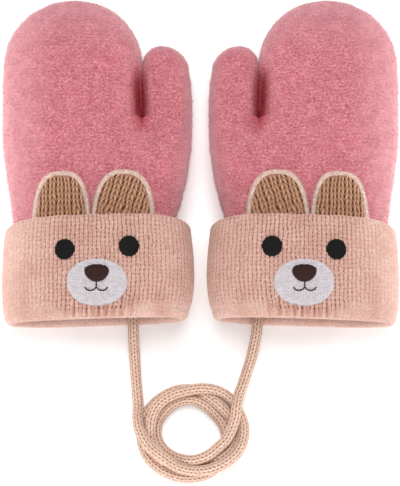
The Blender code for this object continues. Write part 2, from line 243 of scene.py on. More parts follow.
def ramp(tree, value, *stops):
    """A colour socket that runs through the stops, each a position and a screen colour."""
    node = add_node(tree, "ValToRGB", {"Fac": value})
    for k, (position, colour) in enumerate(stops):
        element = node.color_ramp.elements[k] if k < 2 else node.color_ramp.elements.new(position)
        element.position, element.color = position, screen(*colour)
    return node.outputs["Color"]


def blended(tree, first, second, share=1.0, blend="MULTIPLY"):
    """A colour socket of two colours, multiplied or mixed by a share."""
    node = add_node(tree, "Mix", {0: share, 6: first, 7: second}, data_type="RGBA", blend_type=blend)
    return node.outputs[2]


def bump(tree, height, distance, strength=1.0, under=None):
    """A bump socket whose full height is `distance` millimetres, laid over another bump."""
    inputs = {"Height": height, "Strength": strength, "Distance": distance * MM}
    if under is not None:
        inputs["Normal"] = under
    return add_node(tree, "Bump", inputs).outputs["Normal"]


# the finishes read the relief for the knit's tones and for painted shade in holes, grooves, folds and the
# thumb's valley
def relief_of(tree):
    """The socket of the relief that is stored at the mesh's points."""
    return add_node(tree, "Attribute", {}, attribute_name="relief").outputs["Fac"]


def soft_noise(points, size, seed):
    """Smooth noise of about -2 to 2: a sum of waves about `size` long, in random directions."""
    draw = np.random.default_rng(seed)
    waves = draw.normal(size=(3, 24))
    waves *= 2 * np.pi / size * draw.uniform(0.7, 1.4, 24) / np.linalg.norm(waves, axis=0)
    return np.sin(points @ waves + draw.uniform(0, 2 * np.pi, 24)).sum(axis=1) / math.sqrt(12)


def cord_finish():
    """Peach acrylic yarn: painted shade, brown, in the holes between stitches; paler and flecked on their
    crests.
    """
    made, tree, place = cloth_finish("peach_cord_knit", 0.85, 0.25, (255, 235, 220))
    # by the relief: painted shade in the holes, the yarn's own colour on the crests
    tones = (0.05, (88, 43, 24)), (0.3, (174, 118, 87)), (0.5, (222, 188, 167)), (0.8, (245, 227, 214))
    yarn_and_painted_shade = ramp(tree, relief_of(tree), *tones)
    flecks = ramp(tree, noise(tree, place, 0.5, 4), (0.32, (196, 176, 166)), (0.64, (255, 255, 255)))
    fuzz = bump(tree, noise(tree, place, 0.18, 3), 0.08, 0.6)
    return wired(made, {"Base Color": blended(tree, yarn_and_painted_shade, flecks), "Normal": fuzz})


def coil_route():
    """Points round the coil: an ellipse at the offset outwards and the height that the table gives."""
    degrees = np.arange(COIL[0][0], COIL[-1][0] + COIL_STEP, COIL_STEP)
    offset, height = read_table(COIL, degrees).T
    turn = np.radians(degrees)
    x = COIL_CENTRE[0] + (COIL_INNER[0] + offset) * np.cos(turn)
    y = COIL_CENTRE[1] + (COIL_INNER[1] + COIL_NARROWING * offset) * np.sin(turn)
    return np.column_stack([x, y, height])


def ring_angles(count):
    """The angles of a ring's points, from +x to +z."""
    return np.arange(count) * 2 * math.pi / count


def domed(path, half_width, reach):
    """The share of a tube's radius at each point of its path, where both ends are rounded.

    It follows a quarter circle over the last half width, as far as the given share of the way to the tip.
    """
    from_start = along(path)
    from_end = np.minimum(from_start, from_start[-1] - from_start) / half_width
    return np.sqrt(1 - np.clip(1 - from_end, 0, reach) ** 2)


def tube_along(path, radius, angles):
    """The points and faces of a closed tube round a path, with the radius of each ring at each angle.

    Each ring stands across the path, turned so that its top stays up. A tip closes each end.
    """
    forwards = np.gradient(path, axis=0)
    forwards /= np.linalg.norm(forwards, axis=1, keepdims=True)
    side = np.cross((0, 0, 1), forwards)
    side /= np.linalg.norm(side, axis=1, keepdims=True)
    up = np.cross(forwards, side)
    around = np.cos(angles)[:, None] * side[:, None] + np.sin(angles)[:, None] * up[:, None]
    rings = path[:, None] + radius[..., None] * around
    index = np.arange(rings.size // 3).reshape(rings.shape[:2])
    faces = [tube_faces(index), fan(index[0], index.size)[:, ::-1], fan(index[-1], index.size + 1)]
    return np.concatenate([rings.reshape(-1, 3), path[:1], path[-1:]]), faces


def cord_surface(route):
    """The cord's points, faces, relief and path: a tube along the route, raised and sunk by the knit."""
    path = respaced(route, CORD_STITCH / CORD_RINGS_A_STITCH)
    columns = CORD_WALES * CORD_POINTS_A_WALE
    angles = ring_angles(columns)
    wale = (np.arange(columns) + 0.5) / CORD_POINTS_A_WALE
    tilt = CORD_SWAY * soft_noise(path, size=6.0, seed=4)[:, None] * np.cos(angles)
    stitch = along(path)[:, None] / CORD_STITCH + np.floor(wale) / 2 + tilt
    relief = plain_knit(wale, stitch, slant=0.9, groove=0.45, edge=1.0, gap=0.6, hole=(0.52, 0.28))
    radius = CORD_DIAMETER / 2 + CORD_RELIEF * (relief - CORD_LEVEL)
    radius *= domed(path, CORD_DIAMETER / 2, 0.98)[:, None]
    points, faces = tube_along(path, radius, angles)
    return points, faces, np.append(relief.ravel(), (1, 1)), path


to_pair = np.array((0, -MIDDLE_Y, 0))
cord_route = np.concatenate([LEFT_RUN, coil_route(), RIGHT_RUN[::-1]]) + to_pair
cord_points, cord_faces, cord_relief, cord_path = cord_surface(cord_route)
cord = add_mesh("joining_cord", cord_points, cord_faces, cord_finish(), cord_relief)
dress(cord, "cord_knit", "cord_left_run", "cord_right_run", "cord_coil")

# --------------------------------------------------
# Each hand is one seamless tube of acrylic and wool knitting with its thumb, milled and brushed until the
# stitches close up under a short heather nap. It is linked to the cuff by a seam that the cuff hides.
SIDES = (("left", -1), ("right", 1))  # the right mitten mirrors the left one
MITTEN_OFFSET = 41.1
HAND_WALL = 2.2
FLATTENED = 0.9  # how much of a round section's height is pressed flat where it rests
ROUND = 2.35  # the exponent of a soft round section; 2 is an ellipse
SEAM_Y = 30.0
SEAM_GAP = 0.3
CROTCH_Y = 83.0
CROTCH_X = 17.4
SPLIT_FROM_Y = 63.0
PALM = (  # y, left, right, low, high
    (0.0, -33.8, 33.2, 3.0, 25.8),
    (4.0, -34.2, 33.6, 3.0, 25.6),
    (15.0, -34.4, 33.4, 3.0, 24.2),
    (SEAM_Y, -33.0, 31.2, 3.2, 22.4),
    (38.0, -33.4, 31.1, 3.4, 22.2),
    (43.0, -34.3, 31.6, 3.2, 22.5),
    (48.5, -34.8, 33.3, 1.8, 23.3),
    (55.0, -36.0, 34.9, 0.4, 24.2),
    (61.5, -37.0, 36.1, 0.0, 24.9),
    (74.0, -38.4, 37.3, 0.0, 25.2),
    (CROTCH_Y, -38.7, 37.6, 0.0, 25.0),
)
HAND = (  # from here on, the same columns for the hand
    (CROTCH_Y, -38.7, CROTCH_X, 0.0, 25.0),
    (91.0, -39.0, 17.2, 0.0, 24.9),
    (97.5, -39.1, 17.1, 0.0, 24.7),
    (105.2, -38.9, 17.3, 0.0, 24.3),
)
THUMB = (  # and for the thumb
    (CROTCH_Y, CROTCH_X, 37.6, 0.0, 18.6),
    (91.0, 17.2, 37.6, 0.2, 18.2),
    (97.5, 17.1, 37.2, 0.6, 17.8),
    (104.6, 17.0, 36.3, 1.2, 17.2),
)
SLIT = -0.12  # the two sides press together by this much
SLIT_ROUND = 3.0
SLIT_SOFTENS_OVER = 7.0  # from the crotch up, the sides of the slit grow as round as the others
FINGERTIP = (-10.5, 133.8, 9.8)
THUMB_TIP = (25.4, 114.9, 8.8)
TIP_WIDTH_POWER = 0.92
HAND_TIP_POWER = 0.62
THUMB_TIP_POWER = 0.75
TIP_LAST_TURN = math.radians(88)
# points round the hand, the thumb and half the web; rings of the palm, a straight part and a rounded end
OUTER_COUNTS = (156, 96, 16, 56, 24, 26)
INNER_COUNTS = (78, 48, 8, 28, 12, 13)
CREASES = (  # middle x and y, direction in degrees from +x, half length, half width, depth; 0 is the top side
    (19.5, 70.0, 98, 12.0, 3.2, 0.75),
    (25.0, 58.0, 118, 9.0, 3.0, 0.30),
    (-20.0, 101.0, 8, 17.0, 6.5, 0.28),
    (3.0, 92.0, 74, 15.0, 6.0, 0.30),
    (-24.0, 66.0, 100, 15.0, 5.5, 0.32),
    (8.0, 63.5, 2, 13.0, 3.5, 0.35),
    (-12.0, 80.0, 35, 12.0, 6.0, 0.22),
    (28.0, 92.0, 15, 7.0, 5.0, 0.20),
)
CREASES_FADE = 1.5  # how soon a crease is whole, by its cloth's slope
UNDERSIDE_SHIFT = (-9.0, 6.0)  # the underside has similar creases, in other places
THUMB_VALLEY = (16.4, 91.2, 92, 12.4, 2.1, 5.2)  # the valley where the thumb meets the hand, given likewise,
THUMB_SHADE = (16.6, 90.4, 92, 13.0, 3.0, 1.0)  # and the painted shade that darkens the cloth along it
VALLEY_ABOVE, VALLEY_BELOW = (9.0, 6.0), (6.0, -5.0)  # it begins at these heights and is whole so much on
MILLED = ((1, 0.06, 9.0), (2, 0.03, 3.6))  # seed, height and length of the cloth's unevenness,
EVEN_TO = 6.0  # which grows from none at the seam over this much
STITCHES_SHOW = (0.5, 0.45)  # from where the normal's z is this, and clearly from so much on; elsewhere the paler tone is partly a painted highlight
RUBBED_AND_LIT = (  # the stitches fade along an axis by this share, from this place on, over this much, to a paler tone that is partly wear and partly a painted highlight
    (1, 0.6, 108.0, 18.0),
    (0, 0.65, -18.0, -14.0),
)
NAP = {"count": 19500, "lengths": (0.45, 1.25), "width": 0.085, "leans": (25, 78), "seed": 3}
ROWS_SCALE = 194.0  # rows of stitches 1.6 mm apart


def slope(value, start, over):
    """0 up to the start, 1 from `over` beyond it, and straight between; a negative one runs downwards."""
    return np.clip((value - start) / over, 0, 1)


def sections(sides, angles, inset, left_round=ROUND, right_round=ROUND):
    """The (x, z) points of soft round sections, a row for each row of sides and a column for each angle.

    Each is a superellipse between its left, right, low and high sides moved in by inset: x is half the width
    times the cosine to the power 2 over the roundness, and z likewise with the sine. It is pressed flat at
    the low side. The roundness may differ on the left and right halves, and from row to row.
    """
    left, right, low, high = (sides + inset * np.array((1, -1, 1, -1))).T[..., None]
    cos, sin = np.cos(angles), np.sin(angles)
    power = 2 / np.where(cos < 0, left_round, right_round)
    x = (left + right) / 2 + (right - left) / 2 * np.sign(cos) * np.abs(cos) ** power
    z = (low - FLATTENED + high) / 2 + (high - low + FLATTENED) / 2 * np.sign(sin) * np.abs(sin) ** power
    return np.stack([x, np.maximum(z, np.maximum(low, inset))], axis=-1)


def at_heights(xz, y):
    """Rings of points in space from their (x, z) and the y of each ring."""
    return np.stack([xz[..., 0], np.broadcast_to(y[:, None], xz.shape[:2]), xz[..., 1]], axis=-1)


def lobe(rows, tip, count, straight_rings, tip_rings, inset, slit_column, fullness):
    """Rings of the hand or the thumb from the crotch to its tip, and the tip.

    The straight part follows the table. The rounded end shrinks the last section towards the tip point: its
    width as a cosine and its height as another, while its middle moves as the sine squared.
    """
    heights = np.linspace(CROTCH_Y - inset, rows[-1][0], straight_rings)
    sides = read_table(rows, heights)
    sides[:, slit_column] += SLIT / 2 * (-1 if slit_column == 1 else 1)
    edge_round = SLIT_ROUND + (ROUND - SLIT_ROUND) * slope(heights, CROTCH_Y, SLIT_SOFTENS_OVER)[:, None]
    rounds = (ROUND, edge_round) if slit_column == 1 else (edge_round, ROUND)
    straight = at_heights(sections(sides, ring_angles(count), inset, *rounds), heights)
    last = straight[-1]
    middle = (last.min(0) + last.max(0)) / 2
    tip = np.array(tip) - (0, inset, 0)
    turn = (np.linspace(0, TIP_LAST_TURN, tip_rings + 1)[1:])[:, None, None]
    width, height = np.cos(turn) ** TIP_WIDTH_POWER, np.cos(turn) ** fullness
    shrink = np.concatenate([width, np.ones_like(turn), height], axis=-1)
    end = middle + (tip - middle) * np.sin(turn) ** 2 + (last - middle) * shrink
    end[..., 1] = heights[-1] + (tip[1] - heights[-1]) * np.sin(turn[..., 0])
    end[..., 2] = np.maximum(end[..., 2], inset)
    return np.concatenate([straight, end]), tip


def palm_arcs(sides, inset, count, hand_side):
    """Points of the undivided palm's sections from above the crotch's line to below it, round one side."""
    middle, half = (sides[:, 0] + sides[:, 1]) / 2, (sides[:, 1] - sides[:, 0]) / 2 - inset
    start = np.arccos(((CROTCH_X - middle) / half) ** (ROUND / 2))[:, None]
    end = 2 * math.pi - start if hand_side else -start
    return sections(sides, start + (end - start) * np.linspace(0, 1, count), inset)


def hand_skin(counts, inset):
    """The points, faces and lowest ring of one skin of the hand.

    The palm's rings part at the crotch into the hand's rings and the thumb's, which share the points of the
    web between them. Each lobe ends in a pole.
    """
    hand_count, thumb_count, web, palm_rings, *lobe_rings = counts
    hand, hand_tip = lobe(HAND, FINGERTIP, hand_count, *lobe_rings, inset, 1, HAND_TIP_POWER)
    thumb, thumb_tip = lobe(THUMB, THUMB_TIP, thumb_count, *lobe_rings, inset, 0, THUMB_TIP_POWER)
    hand_web = np.arange(web, -web - 1, -1) % hand_count  # from above the crotch to below it
    thumb_web = thumb_count // 2 + np.arange(-web, web + 1)
    shared = (hand[0][hand_web] + thumb[0][thumb_web]) / 2
    hand[0][hand_web], thumb[0][thumb_web] = shared, shared
    hand_arc = np.arange(web, hand_count - web + 1)
    thumb_arc = (thumb_count // 2 - web - np.arange(thumb_count - 2 * web + 1)) % thumb_count
    lobes = np.concatenate([hand[0][hand_arc], thumb[0][thumb_arc][-2:0:-1]])[:, (0, 2)]
    heights = np.linspace(SEAM_Y + SEAM_GAP, CROTCH_Y - inset, palm_rings)
    sides = read_table(PALM, heights)
    split = slope(heights, SPLIT_FROM_Y, heights[-1] - SPLIT_FROM_Y)[:, None, None]
    hand_part = palm_arcs(sides, inset, len(hand_arc), True)
    thumb_part = palm_arcs(sides, inset, len(thumb_arc), False)[:, -2:0:-1]
    whole = np.concatenate([hand_part, thumb_part], axis=1)
    palm = at_heights(whole + (lobes - whole) * (split * split * (3 - 2 * split)), heights)
    number = np.arange(palm.shape[0] * palm.shape[1]).reshape(palm.shape[:2])
    points, faces = [palm.reshape(-1, 3), shared[1:-1]], [tube_faces(number)]
    crown, arc = number[-1], len(hand_arc)
    used = number.size + 2 * web - 1
    bridge = np.concatenate([crown[:1], np.arange(number.size, used), crown[arc - 1 : arc]])
    thumb_crown = np.concatenate([crown[:1], crown[arc:][::-1], crown[arc - 1 : arc]])
    for rings, pole, open_side, web_side, base in (
        (hand, hand_tip, hand_arc, hand_web, crown[:arc]),
        (thumb, thumb_tip, thumb_arc, thumb_web, thumb_crown),
    ):
        first = np.zeros(rings.shape[1], int)
        first[open_side], first[web_side] = base, bridge
        upper = used + np.arange(rings[1:, :, 0].size).reshape(-1, rings.shape[1])
        used += upper.size + 1
        points += [rings[1:].reshape(-1, 3), pole[None]]
        faces.append(tube_faces(np.vstack([first, upper])))
        faces.append(fan(upper[-1], used - 1))
    return np.concatenate(points), faces, number[0]


def turned(faces):
    """The faces, facing the other way."""
    return [part[:, ::-1] for part in faces]


def area_vectors(points, part):
    """For each face of three or four corners, a vector along its normal whose length is its area."""
    corner = points[part]
    return np.cross(corner[:, 2] - corner[:, 0], corner[:, -1] - corner[:, 1]) / 2


def area_of(points, faces):
    """The area of all the faces together."""
    return sum(np.linalg.norm(area_vectors(points, part), axis=1).sum() for part in faces)


def normals_of(points, faces):
    """A unit normal at each point, from the sum of the area vectors of the faces round it."""
    normals = np.zeros_like(points)
    for part in faces:
        vector = area_vectors(points, part)
        for column in part.T:
            np.add.at(normals, column, vector)
    return normals / np.maximum(np.linalg.norm(normals, axis=1, keepdims=True), 1e-9)


def crease(points, power, x, y, degrees, half_length, half_width, depth):
    """The depth of one crease at each point: a bell across its line, and one of the given power along it."""
    dx, dy, turn = points[:, 0] - x, points[:, 1] - y, math.radians(degrees)
    run, offset = dx * math.cos(turn) + dy * math.sin(turn), dy * math.cos(turn) - dx * math.sin(turn)
    return depth * np.exp(-((run / half_length) ** power) - (offset / half_width) ** 2)


def creased(points, normals):
    """How far the soft creases sink each point of the outer skin."""
    sunk = np.zeros(len(points))
    for face, shift in ((1, (0, 0)), (-1, UNDERSIDE_SHIFT)):
        share = np.clip(face * normals[:, 2] * CREASES_FADE, 0, 1)
        sunk += share * sum(crease(points - (*shift, 0), 2, *row) for row in CREASES)
    return sunk


def with_valley(points):
    """The points with the thumb's valley pressed in: straight down from above, and half as far from below."""
    pressed = crease(points, 4, *THUMB_VALLEY)
    above, below = slope(points[:, 2], *VALLEY_ABOVE), slope(points[:, 2], *VALLEY_BELOW)
    return points + (pressed * (below / 2 - above))[:, None] * (0, 0, 1)


def fibres(points, faces, count, lengths, width, leans, seed):
    """Fine fibres scattered over faces by area: their points and faces, and a surface point beside each.

    Each is a closed spike of three sides on a small sunken base. It leans from the surface's normal by an
    angle drawn between the two leans, in any direction.
    """
    draw = np.random.default_rng(seed)
    halves = [part[:, corners] for part in faces for corners in ((0, 1, 2), (0, 2, 3))[: part.shape[1] - 2]]
    triangles = np.concatenate(halves)
    vector = area_vectors(points, triangles)
    area = np.linalg.norm(vector, axis=1)
    pick = draw.choice(len(triangles), count, p=area / area.sum())
    root = (points[triangles[pick]] * draw.dirichlet((1, 1, 1), count)[..., None]).sum(axis=1)
    normal = vector[pick] / area[pick, None]
    tangent = np.cross(normal, draw.normal(size=(count, 3)))
    tangent /= np.linalg.norm(tangent, axis=1, keepdims=True)
    other = np.cross(normal, tangent)
    lean = np.radians(draw.uniform(*leans, (count, 1)))
    tip = root + draw.uniform(*lengths, (count, 1)) * (normal * np.cos(lean) + tangent * np.sin(lean))
    third = np.arange(3)[:, None] * 2 * np.pi / 3
    base = width * (np.cos(third) * tangent[:, None] + np.sin(third) * other[:, None])
    base += (root - width * normal)[:, None]
    made = np.concatenate([base, tip[:, None]], axis=1).reshape(-1, 3)
    made[:, 2] = np.maximum(made[:, 2], 0)
    spike = np.array(((0, 2, 1), (0, 1, 3), (1, 2, 3), (2, 0, 3)))
    sides = 4 * np.arange(count)[:, None, None] + spike
    return made, [sides.reshape(-1, 3)], np.repeat(triangles[pick, 0], 4)


def add_pair(name, points, faces, finish, relief, slot, node=None):
    """A piece of each mitten at its place in the pair, standing for its node, if any. The slot is not used.
    """
    made = []
    for side_name, side in SIDES:
        moved = points * (-side, 1, 1) + (side * MITTEN_OFFSET, -MIDDLE_Y, 0)
        facing = faces if side < 0 else turned(faces)
        made.append(add_mesh(f"{side_name}_{name}", moved, facing, finish, relief))
        dress(made[-1], slot, *([f"{side_name}_{node}"] if node else []))
    return made


def hand_surface():
    """One hand's points and faces, its relief, the faces of its outer skin alone, and the area of its cloth.

    The outer skin has its creases and the unevenness of milled cloth. A rim joins it to the inner skin. Up to
    0.5 the relief is how clearly the stitches show: less towards the sides and the fingertips, which are
    rubbed most and take a paler tone, partly a painted highlight. From there to 1 it is the painted shade in
    the thumb's valley.
    """
    outer, outer_faces, outer_rim = hand_skin(OUTER_COUNTS, 0.0)
    outer_faces = turned(outer_faces)
    normals = normals_of(outer, outer_faces)
    rise = sum(height * soft_noise(outer, size, seed) for seed, height, size in MILLED)
    rise = (rise - creased(outer, normals)) * slope(outer[:, 1], SEAM_Y, EVEN_TO)
    bulged = with_valley(outer + normals * rise[:, None])
    bulged[:, 2] = np.maximum(bulged[:, 2], 0)
    # stitches show where faces point up or down; on the sides, and towards the fingertip and the little
    # finger's side, the paler tone is partly a painted highlight
    clear = slope(np.abs(normals[:, 2]), *STITCHES_SHOW)
    for column, share, start, over in RUBBED_AND_LIT:
        clear *= 1 - share * slope(outer[:, column], start, over)
    # painted shade along the thumb's valley, carried in the relief from 0.5 to 1
    painted_valley_shade = crease(outer, 4, *THUMB_SHADE)
    relief = np.maximum(clear, np.clip(4 * painted_valley_shade, 0, 1)) / 2 + painted_valley_shade / 2
    inner, inner_faces, inner_rim = hand_skin(INNER_COUNTS, HAND_WALL)
    inner_rim = inner_rim + len(outer)
    even, odd = outer_rim[::2], outer_rim[1::2]
    rim = np.column_stack([even, odd, np.roll(even, -1), np.roll(inner_rim, -1), inner_rim])
    faces = [*outer_faces, *(part + len(outer) for part in inner_faces), rim]
    points = np.concatenate([bulged, with_valley(inner)])
    return points, faces, np.append(relief, np.zeros(len(inner))), outer_faces, area_of(outer, outer_faces)


def felt_finish():
    """Milled heather: pale, pink and red fibres in a fine mottle, over the faint rows of the knitting.

    In the thumb's valley a painted shade deepens the colour, and the sheen goes. Where the stitches fade, the
    paler tone is partly wear and partly a painted highlight.
    """
    made, tree, place = cloth_finish("brushed_pink_knit", 0.92, 0.5, (255, 214, 220))
    tones = (0.30, (142, 51, 67)), (0.42, (188, 97, 109)), (0.54, (209, 130, 138)), (0.72, (231, 170, 174))
    drawn = add_node(tree, "VectorMath", {0: place, 1: (0.8, 1.0, 0.9)}, operation="MULTIPLY").outputs[0]
    heather = ramp(tree, noise(tree, drawn, 0.68, 5, 0.72), *tones)
    wave = {"Vector": place, "Scale": ROWS_SCALE, "Distortion": 5.0, "Detail": 2.0, "Detail Scale": 1.6}
    rows = add_node(tree, "TexWave", wave, bands_direction="Y").outputs["Fac"]
    lines = ramp(tree, rows, (0.0, (226, 214, 216)), (0.5, (255, 255, 255)))
    knit = blended(tree, heather, lines, 0.4)
    # the paler rubbed tone, partly wear and partly a painted highlight
    rubbed_and_lit = blended(tree, screen(206, 152, 156), knit, 0.25, "MIX")
    relief = relief_of(tree)
    clear = add_node(tree, "Math", {0: relief, 1: 2.0}, operation="MULTIPLY", use_clamp=True).outputs[0]
    patchy = ramp(tree, noise(tree, place, 5.0, 2), (0.3, (238, 230, 232)), (0.7, (255, 255, 255)))
    # painted shade in the thumb's valley, where the sheen is also taken away
    painted_valley_shade = ramp(tree, relief, (0.5, (255, 255, 255)), (1.0, (216, 128, 138)))
    cloth = blended(tree, rubbed_and_lit, knit, clear, "MIX")
    colour = blended(tree, cloth, blended(tree, patchy, painted_valley_shade))
    fading = {"Value": relief, "From Min": 0.5, "From Max": 0.9, "To Min": 0.5, "To Max": 0.0}
    sheen = add_node(tree, "MapRange", fading).outputs[0]
    fuzz = bump(tree, noise(tree, place, 0.5, 3, 0.6), 0.15, 0.6, bump(tree, rows, 0.1, 0.25))
    return wired(made, {"Base Color": colour, "Normal": fuzz, "Sheen Weight": sheen})


felt = felt_finish()
hand_points, hand_faces, hand_relief, hand_outside, hand_area = hand_surface()
nap_points, nap_faces, nap_roots = fibres(hand_points, hand_outside, **NAP)
nap_relief = hand_relief[nap_roots] * (hand_relief[nap_roots] > 0.5)  # the paler rubbed tone, partly a painted highlight, but for the painted shade of the thumb's valley
hands = add_pair("felted_hand", hand_points, hand_faces, felt, hand_relief, "brushed_knit", "hand")
naps = add_pair("hand_nap", nap_points, nap_faces, felt, nap_relief, "brushed_knit")

# --------------------------------------------------
# Each cuff is a tube of fine plain acrylic knitting, turned up over itself at the mouth. Its hidden end is
# linked to the hand, its turned-up edge is cast off, and only the roll at the fold shows no stitches.
CUFF_WALL = 2.3
CUFF_ROUND = 2.5
CUFF_EDGE_Y = 41.6
CUFF_SLANT = 0.03  # the cuff climbs towards the thumb
CUFF_DROOP = 0.05  # and its upper side hangs lower than its underside
CUFF_CORNER = 1.3  # how much lower the turned-up edge is at its two sides,
CUFF_ROUNDING = 2.6  # and how much lower yet close to them
CUFF = (
    (0.0, -35.0, 34.2, 0.0, 28.0),
    (4.0, -36.7, 36.7, 0.0, 28.8),
    (12.0, -37.6, 38.4, 0.0, 29.2),
    (24.0, -37.7, 38.5, 0.0, 29.3),
    (34.0, -37.4, 37.8, 0.0, 29.2),
    (CUFF_EDGE_Y, -36.8, 37.0, 0.0, 28.8),
)
FOLD_DEPTH = 3.6
INSIDE_RINGS, SLOT_RINGS = 7, 4
SLOT_FLOOR_Y = 5.0
CUFF_WALES = 106
CUFF_STITCH = 1.66
CUFF_RINGS_A_STITCH = 5
CUFF_RELIEF = 0.38
ROLL_RELIEF, ROLL_SHARE = 0.84, 0.2
CUFF_FINE, CUFF_COARSE = 7, 3  # columns a wale where it shows and below,
COARSE_UNDER = -0.55  # where the sine of a wale's angle is less than this
GIRTH_Y = 20.0  # where the cuff's girth is measured
WALES_STRAY, STITCHES_STRAY, CUFF_FUZZ = 0.07, 0.14, 0.06  # the knit's unevenness
CUFF_SWELL = 0.08  # how much the cloth swells and sinks in wide patches
FADE_FROM_X, FADE_OVER = 14.0, 20.0  # the stitches are brushed over towards the two sides,
OUTER_FADE, INNER_FADE = 0.85, 0.3  # by these shares, which also paint the outer side lighter and the inner side darker
SMOOTH_TO_Y, KNIT_GROWS_OVER = 0.4, 3.2  # the stitches sink into the roll here at the middle,
SMOOTH_RISE, RISE_FROM_X, RISE_OVER = 3.6, 9.0, 10.0  # and this much higher towards the two sides
FOLD_STEP = 9  # degrees
FOLD_SHOWN = 6  # rings of the fold that still have stitches
PUCKER_SHADE = 0.45  # how much a pucker of 1 mm darkens the colour: painted shade in its fold
PUCKERS = (  # middle x, half width, depth, length up from the fold
    (-11.6, 0.8, 0.45, 7.5),
    (-8.4, 0.6, 0.75, 6.4),
    (-5.6, 0.6, 0.60, 5.6),
    (-3.4, 0.5, 0.85, 5.0),
    (-1.0, 0.5, 0.60, 4.8),
    (1.3, 0.6, 0.90, 5.0),
    (4.2, 0.6, 0.85, 5.2),
    (7.2, 0.6, 0.65, 6.0),
    (10.2, 0.7, 0.75, 7.2),
    (13.9, 0.9, 0.40, 8.5),
    (-27.0, 2.6, 0.30, 16.0),
    (25.0, 2.4, 0.26, 12.0),
)


def cuff_shift(points, y):
    """How far along y the cuff's points lie from the level heights y."""
    to_side = points[..., 0] / CUFF[-1][2]
    corner = (y / CUFF_EDGE_Y) ** 3 * (CUFF_CORNER * to_side**4 + CUFF_ROUNDING * to_side**8)
    return CUFF_SLANT * points[..., 0] - CUFF_DROOP * points[..., 2] - corner


def cuff_rings(rows, y, angles, inset=0.0, lean=1.0):
    """Rings of the cuff at the heights y, which lean by a share of the full slant."""
    y, inset, lean = (values[:, None] for values in np.broadcast_arrays(y, inset, lean))
    rings = at_heights(sections(read_table(rows, y[:, 0]), angles, inset, CUFF_ROUND, CUFF_ROUND), y[:, 0])
    rings[..., 1] += lean * cuff_shift(rings, y)
    return rings


def cuff_columns():
    """The angle of each column of points round a cuff and its place counted in wales.

    The wales are equally wide on the cuff's girth, and have fewer columns on the underside.
    """
    dense = ring_angles(6000)
    girth = along(cuff_rings(CUFF, np.array([GIRTH_Y]), np.append(dense, 2 * math.pi))[0])
    wale_angle = np.interp((np.arange(CUFF_WALES) + 0.5) / CUFF_WALES * girth[-1], girth[:-1], dense)
    counts = np.where(np.sin(wale_angle) > COARSE_UNDER, CUFF_FINE, CUFF_COARSE)
    wales = np.concatenate([k + (np.arange(n) + 0.5) / n for k, n in enumerate(counts)])
    return np.interp(wales / CUFF_WALES * girth[-1], girth[:-1], dense), wales


